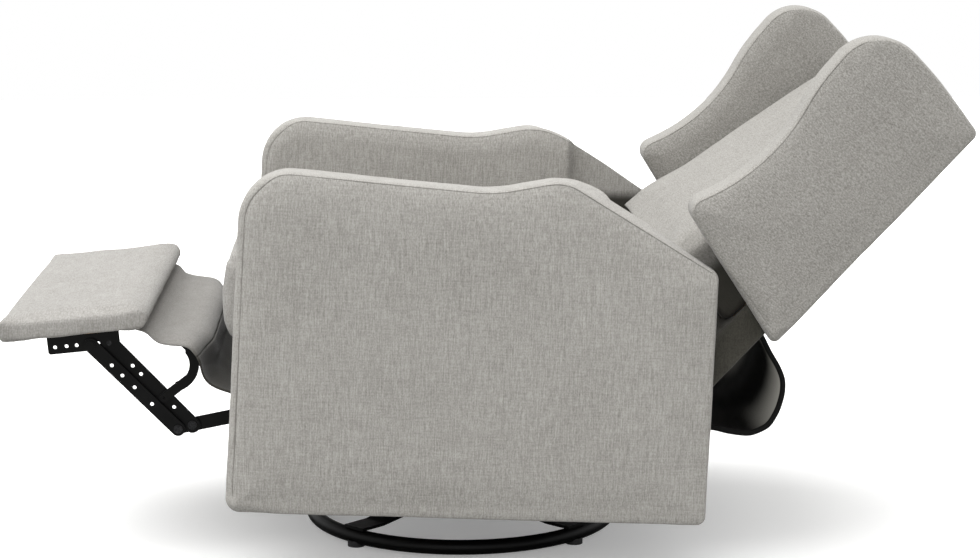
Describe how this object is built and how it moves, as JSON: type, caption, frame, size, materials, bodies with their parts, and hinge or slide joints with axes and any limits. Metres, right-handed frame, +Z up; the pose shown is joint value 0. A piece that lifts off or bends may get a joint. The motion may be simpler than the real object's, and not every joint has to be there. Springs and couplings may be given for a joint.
{
  "type": "swivel glider recliner",
  "caption": "Upholstered recliner with slim padded arms, winged reclining back and fold-out footrest, gliding on hanging links over a round swivelling floor ring.",
  "frame": {"origin": "On the floor, at the centre of the bounding box of the reclined chair seen from above", "axes": "+Z up, the chair faces -Y, +X is to the left of the sitter"},
  "size_m": [0.8, 1.4774, 0.8362],
  "materials": {
    "black_steel": "satin black powder coat",
    "zinc_steel": "zinc plated steel",
    "black_nylon": "moulded, slightly glossy",
    "plywood": "raw birch plywood and pine",
    "grey_linen": "linen look weave over foam",
    "pale_linen": "linen look weave over foam",
    "grey_tweed": "fine tweed weave over foam",
    "dust_cloth": "black non-woven dust cloth",
    "jute_webbing": "woven webbing"
  },
  "bodies": {
    "base": {"base_ring": "black_steel", "base_straps": "black_steel", "base_hub": "black_steel", "floor_pads": "black_nylon", "bearing_ring": "black_nylon"},
    "turntable": {"turning_plate": "black_steel", "glide_frame": "black_steel", "upper_glide_pins": "zinc_steel"},
    "front_links": {"front_glide_links": "black_steel", "front_link_bushes": "black_nylon"},
    "rear_links": {"rear_glide_links": "black_steel", "rear_link_bushes": "black_nylon"},
    "chair": {"carriage_rails": "black_steel", "cross_tubes": "black_steel", "lower_glide_pins": "zinc_steel", "side_plates": "black_steel", "arm_brackets": "black_steel", "left_arm_board": "plywood", "right_arm_board": "plywood", "left_arm": "grey_linen", "right_arm": "grey_linen", "seat_frame": "plywood", "seat_springs": "zinc_steel", "seat_cushion": "pale_linen", "release_cup": "black_nylon", "lever_pin": "zinc_steel", "back_pivot_pins": "zinc_steel"},
    "lever": {"release_lever": "black_nylon"},
    "rear_bars": {"cross_shaft": "black_steel", "rear_footrest_bars": "black_steel", "knee_rivets": "zinc_steel"},
    "front_bars": {"front_footrest_bars": "black_steel", "flap_hooks": "black_steel"},
    "stays": {"stay_bars": "black_steel"},
    "footrest": {"footrest_brackets": "black_steel", "bracket_rivets": "zinc_steel", "footrest_board": "plywood", "footrest_pad": "pale_linen", "footrest_flap": "pale_linen"},
    "back": {"back_brackets": "black_steel", "back_frame": "plywood", "wing_boards": "plywood", "back_webbing": "jute_webbing", "back_cushion": "pale_linen", "left_wing": "grey_tweed", "right_wing": "grey_tweed", "outer_back": "grey_linen", "back_skirt": "grey_linen", "dust_pouch": "dust_cloth"}
  },
  "joints": [
    {"name": "swivel", "type": "hinge", "parent": "base", "child": "turntable", "pos_m": [0, -0.0195, 0.055], "axis": [0, 0, 1], "continuous": true},
    {"name": "glide", "type": "hinge", "parent": "turntable", "child": "front_links", "pos_m": [0, -0.1395, 0.202], "axis": [1, 0, 0], "range_deg": [-28, 28]},
    {"name": "glide_front_foot", "type": "hinge", "parent": "front_links", "child": "chair", "pos_m": [0, -0.1395, 0.112], "axis": [1, 0, 0], "range_deg": [-28, 28]},
    {"name": "glide_rear_head", "type": "hinge", "parent": "turntable", "child": "rear_links", "pos_m": [0, 0.1005, 0.202], "axis": [1, 0, 0], "range_deg": [-28, 28]},
    {"name": "release", "type": "hinge", "parent": "chair", "child": "lever", "pos_m": [-0.392, -0.00148, 0.44864], "axis": [0, 0.9992, -0.0401], "range_deg": [0, 30], "stiffness_Nm_per_rad": 0.35},
    {"name": "footrest_fold", "type": "hinge", "parent": "chair", "child": "rear_bars", "pos_m": [0, -0.30667, 0.25073], "axis": [1, 0, 0], "range_deg": [0, 122.9], "deforming": ["footrest_flap"]},
    {"name": "knee", "type": "hinge", "parent": "rear_bars", "child": "front_bars", "pos_m": [0, -0.44992, 0.22245], "axis": [1, 0, 0], "range_deg": [-126, 0.1]},
    {"name": "footrest_tilt", "type": "hinge", "parent": "front_bars", "child": "footrest", "pos_m": [0, -0.57568, 0.35561], "axis": [1, 0, 0], "range_deg": [-0.1, 85.7]},
    {"name": "stay_foot", "type": "hinge", "parent": "rear_bars", "child": "stays", "pos_m": [0, -0.4715, 0.21819], "axis": [1, 0, 0], "range_deg": [-121.62, 0.1]},
    {"name": "recline", "type": "hinge", "parent": "chair", "child": "back", "pos_m": [0, 0.15382, 0.26626], "axis": [1, 0, 0], "range_deg": [0, 26.7], "deforming": ["dust_pouch"]}
  ],
  "couplings": [
    {"joint": "glide_front_foot", "follows": "glide", "ratio": -1},
    {"joint": "glide_rear_head", "follows": "glide", "ratio": 1},
    {"joint": "knee", "follows": "footrest_fold", "ratio": -1.0244},
    {"joint": "footrest_tilt", "follows": "footrest_fold", "ratio": 0.69569},
    {"joint": "stay_foot", "follows": "footrest_fold", "ratio": -0.988}
  ]
}
